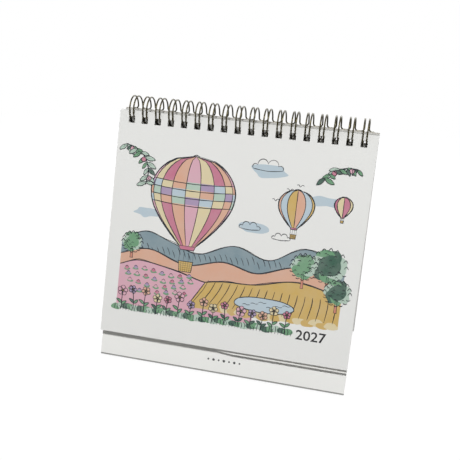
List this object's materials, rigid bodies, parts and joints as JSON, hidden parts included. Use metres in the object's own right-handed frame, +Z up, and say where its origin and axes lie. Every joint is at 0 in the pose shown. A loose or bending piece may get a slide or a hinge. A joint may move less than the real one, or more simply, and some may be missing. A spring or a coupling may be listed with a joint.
{
  "type": "desk calendar",
  "caption": "Standing easel calendar: a cover and month sheets hang from a twin-loop wire on a folding board stand with interleaved base flaps.",
  "frame": {"origin": "on the desk, under the middle of the width and depth", "axes": "+X to the reader's right along the binding, +Y from the cover to the back of the stand, +Z up"},
  "size_m": [0.16, 0.0888, 0.1635],
  "materials": {
    "cover_paper": "matt coated card with a printed face",
    "month_paper": "uncoated warm white paper",
    "board_paper": "smooth white lining paper",
    "grey_board": "raw grey board",
    "flap_card": "white card, creased",
    "bronze_wire": "dark bronze lacquered wire"
  },
  "bodies": {
    "stand_front": {"front_board_core": "grey_board", "front_board_facing": "board_paper", "front_board_lining": "board_paper", "twin_loop_wire": "bronze_wire"},
    "stand_back": {"back_board_core": "grey_board", "back_board_facing": "board_paper", "back_board_lining": "board_paper"},
    "front_flap": {"front_base_flap": "flap_card"},
    "rear_flap": {"rear_base_flap": "flap_card"},
    "cover": {"cover_sheet": "cover_paper"},
    "month_01": {"month_sheet_01": "month_paper"},
    "month_02": {"month_sheet_02": "month_paper"},
    "month_03": {"month_sheet_03": "month_paper"},
    "month_04": {"month_sheet_04": "month_paper"},
    "month_05": {"month_sheet_05": "month_paper"},
    "month_06": {"month_sheet_06": "month_paper"},
    "month_07": {"month_sheet_07": "month_paper"},
    "month_08": {"month_sheet_08": "month_paper"},
    "month_09": {"month_sheet_09": "month_paper"},
    "month_10": {"month_sheet_10": "month_paper"},
    "month_11": {"month_sheet_11": "month_paper"},
    "month_12": {"month_sheet_12": "month_paper"}
  },
  "joints": [
    {"name": "stand_fold", "type": "hinge", "parent": "stand_front", "child": "stand_back", "pos_m": [0, -0.00171, 0.15497], "axis": [-1, 0, 0], "range_deg": [0, 30]},
    {"name": "front_flap_fold", "type": "hinge", "parent": "stand_front", "child": "front_flap", "pos_m": [0, -0.04191, 0.0003], "axis": [1, 0, 0], "range_deg": [0, 75]},
    {"name": "rear_flap_fold", "type": "hinge", "parent": "stand_back", "child": "rear_flap", "pos_m": [0, 0.04191, 0.0003], "axis": [-1, 0, 0], "range_deg": [0, 75]},
    {"name": "cover_turn", "type": "hinge", "parent": "stand_front", "child": "cover", "pos_m": [0, -0.00171, 0.15497], "axis": [-1, 0, 0], "range_deg": [0, 180]},
    {"name": "month_01_turn", "type": "hinge", "parent": "stand_front", "child": "month_01", "pos_m": [0, -0.00171, 0.15497], "axis": [-1, 0, 0], "range_deg": [0, 177.26]},
    {"name": "month_02_turn", "type": "hinge", "parent": "stand_front", "child": "month_02", "pos_m": [0, -0.00171, 0.15497], "axis": [-1, 0, 0], "range_deg": [0, 174.02]},
    {"name": "month_03_turn", "type": "hinge", "parent": "stand_front", "child": "month_03", "pos_m": [0, -0.00171, 0.15497], "axis": [-1, 0, 0], "range_deg": [0, 170.78]},
    {"name": "month_04_turn", "type": "hinge", "parent": "stand_front", "child": "month_04", "pos_m": [0, -0.00171, 0.15497], "axis": [-1, 0, 0], "range_deg": [0, 167.54]},
    {"name": "month_05_turn", "type": "hinge", "parent": "stand_front", "child": "month_05", "pos_m": [0, -0.00171, 0.15497], "axis": [-1, 0, 0], "range_deg": [0, 164.3]},
    {"name": "month_06_turn", "type": "hinge", "parent": "stand_front", "child": "month_06", "pos_m": [0, -0.00171, 0.15497], "axis": [-1, 0, 0], "range_deg": [0, 17.06]},
    {"name": "month_07_turn", "type": "hinge", "parent": "stand_front", "child": "month_07", "pos_m": [0, -0.00171, 0.15497], "axis": [-1, 0, 0], "range_deg": [0, 15.08]},
    {"name": "month_08_turn", "type": "hinge", "parent": "stand_front", "child": "month_08", "pos_m": [0, -0.00171, 0.15497], "axis": [-1, 0, 0], "range_deg": [0, 13.1]},
    {"name": "month_09_turn", "type": "hinge", "parent": "stand_front", "child": "month_09", "pos_m": [0, -0.00171, 0.15497], "axis": [-1, 0, 0], "range_deg": [0, 11.12]},
    {"name": "month_10_turn", "type": "hinge", "parent": "stand_front", "child": "month_10", "pos_m": [0, -0.00171, 0.15497], "axis": [-1, 0, 0], "range_deg": [0, 9.14]},
    {"name": "month_11_turn", "type": "hinge", "parent": "stand_front", "child": "month_11", "pos_m": [0, -0.00171, 0.15497], "axis": [-1, 0, 0], "range_deg": [0, 7.16]},
    {"name": "month_12_turn", "type": "hinge", "parent": "stand_front", "child": "month_12", "pos_m": [0, -0.00171, 0.15497], "axis": [-1, 0, 0], "range_deg": [0, 5.18]}
  ],
  "couplings": [
    {"joint": "front_flap_fold", "follows": "stand_fold", "ratio": 2.5},
    {"joint": "rear_flap_fold", "follows": "stand_fold", "ratio": 2.5},
    {"joint": "month_01_turn", "follows": "cover_turn", "ratio": 0.982},
    {"joint": "month_02_turn", "follows": "cover_turn", "ratio": 0.964},
    {"joint": "month_03_turn", "follows": "cover_turn", "ratio": 0.946},
    {"joint": "month_04_turn", "follows": "cover_turn", "ratio": 0.928},
    {"joint": "month_05_turn", "follows": "cover_turn", "ratio": 0.91},
    {"joint": "month_06_turn", "follows": "cover_turn", "ratio": 0.092},
    {"joint": "month_07_turn", "follows": "cover_turn", "ratio": 0.081},
    {"joint": "month_08_turn", "follows": "cover_turn", "ratio": 0.07},
    {"joint": "month_09_turn", "follows": "cover_turn", "ratio": 0.059},
    {"joint": "month_10_turn", "follows": "cover_turn", "ratio": 0.048},
    {"joint": "month_11_turn", "follows": "cover_turn", "ratio": 0.037},
    {"joint": "month_12_turn", "follows": "cover_turn", "ratio": 0.026}
  ]
}
